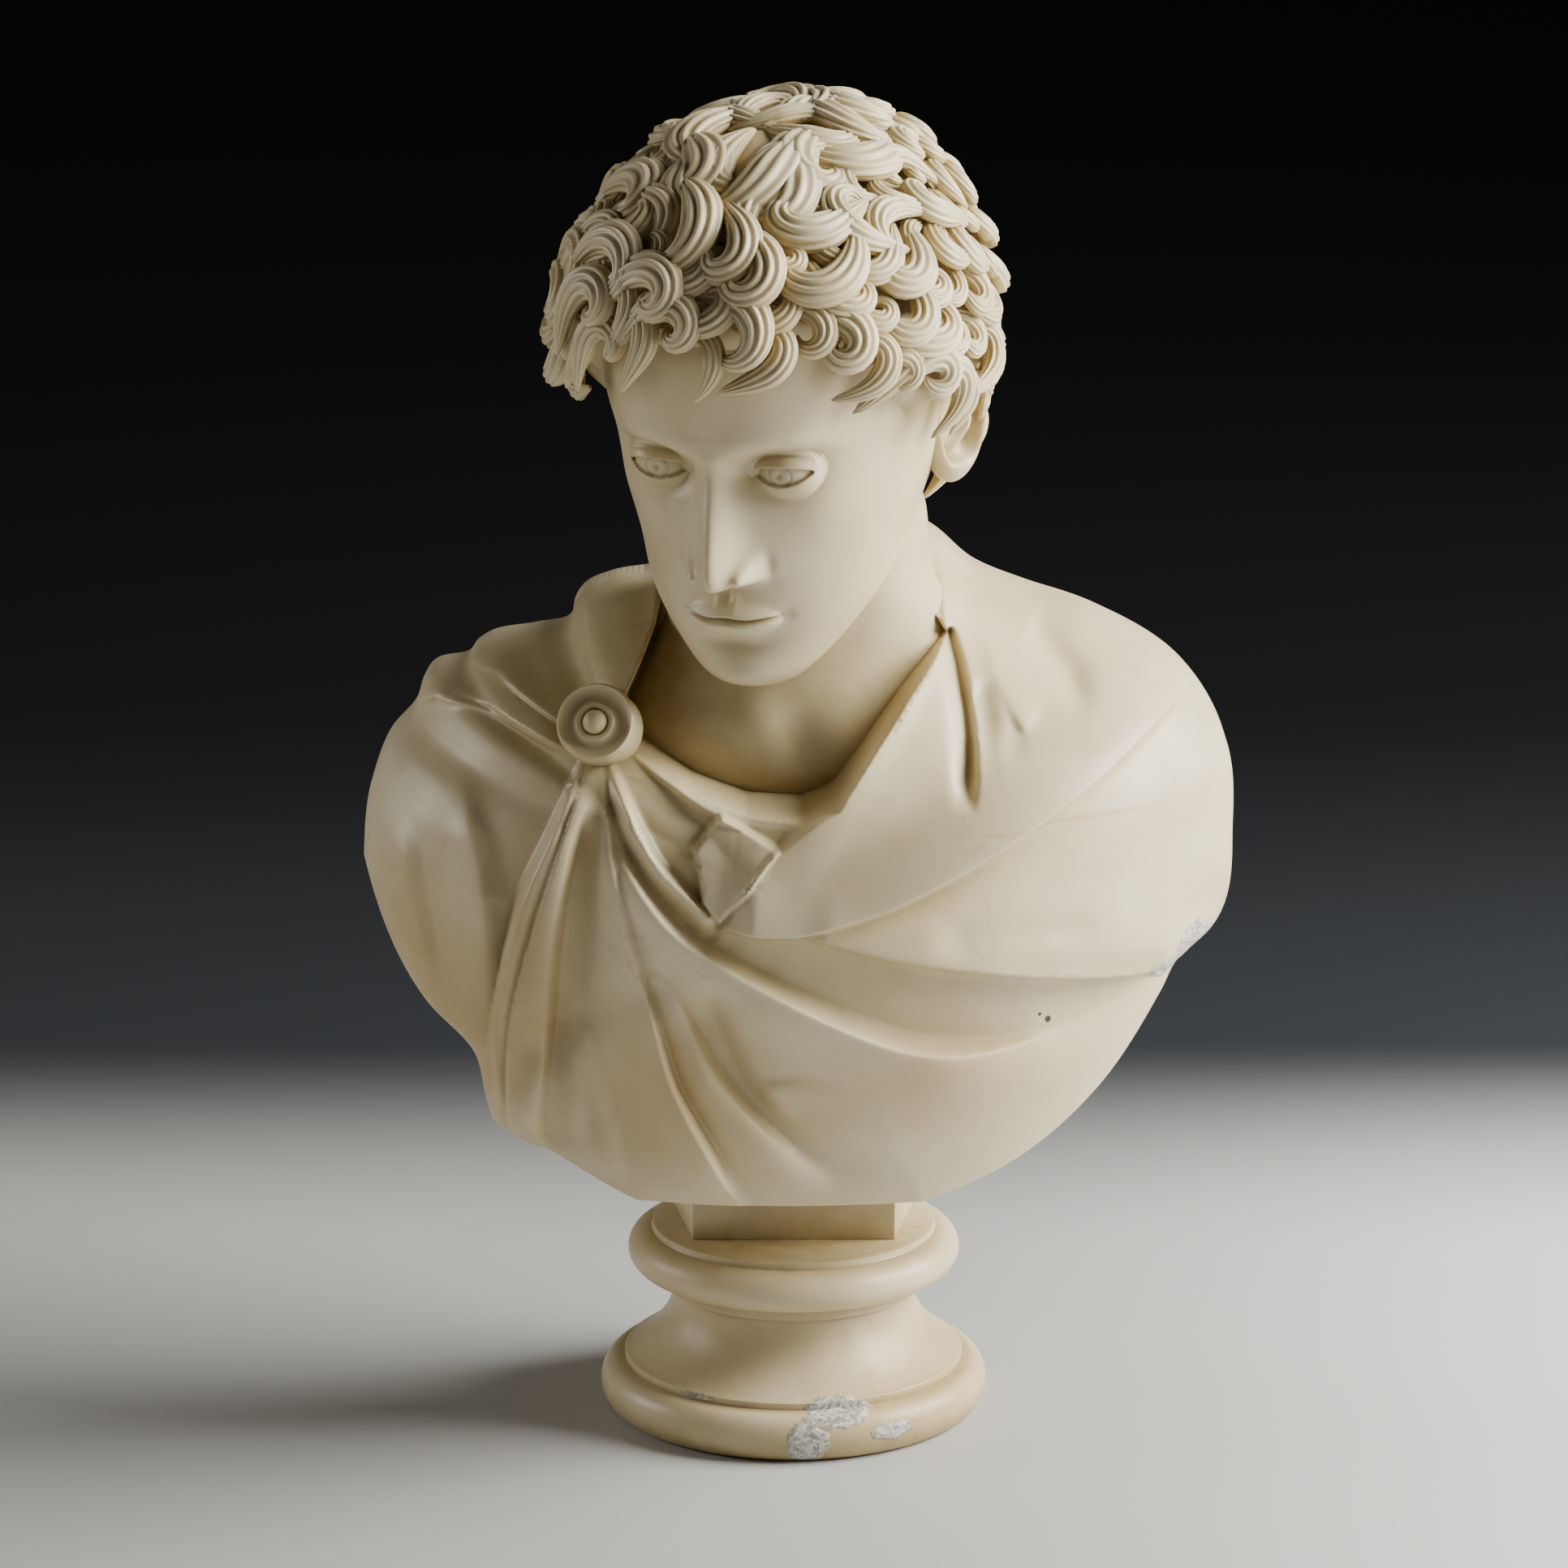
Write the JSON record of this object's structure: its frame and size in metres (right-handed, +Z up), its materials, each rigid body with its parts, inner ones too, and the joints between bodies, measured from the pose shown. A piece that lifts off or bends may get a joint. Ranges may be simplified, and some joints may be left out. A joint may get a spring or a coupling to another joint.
{
  "type": "emperor bust",
  "caption": "White marble portrait bust of a curly-haired youth in a cloak pinned with a round brooch, on a turned marble socle.",
  "frame": {"origin": "middle of the socle's underside, on the floor", "axes": "+Z up along the socle's axis, -Y out of the chest, +X towards the figure's left shoulder"},
  "size_m": [0.4125, 0.2659, 0.642],
  "materials": {
    "bust_marble": "carved and polished, satin",
    "socle_marble": "turned and polished, satin, with old fills"
  },
  "bodies": {
    "root": {"bust": "bust_marble", "socle": "socle_marble"}
  },
  "joints": []
}
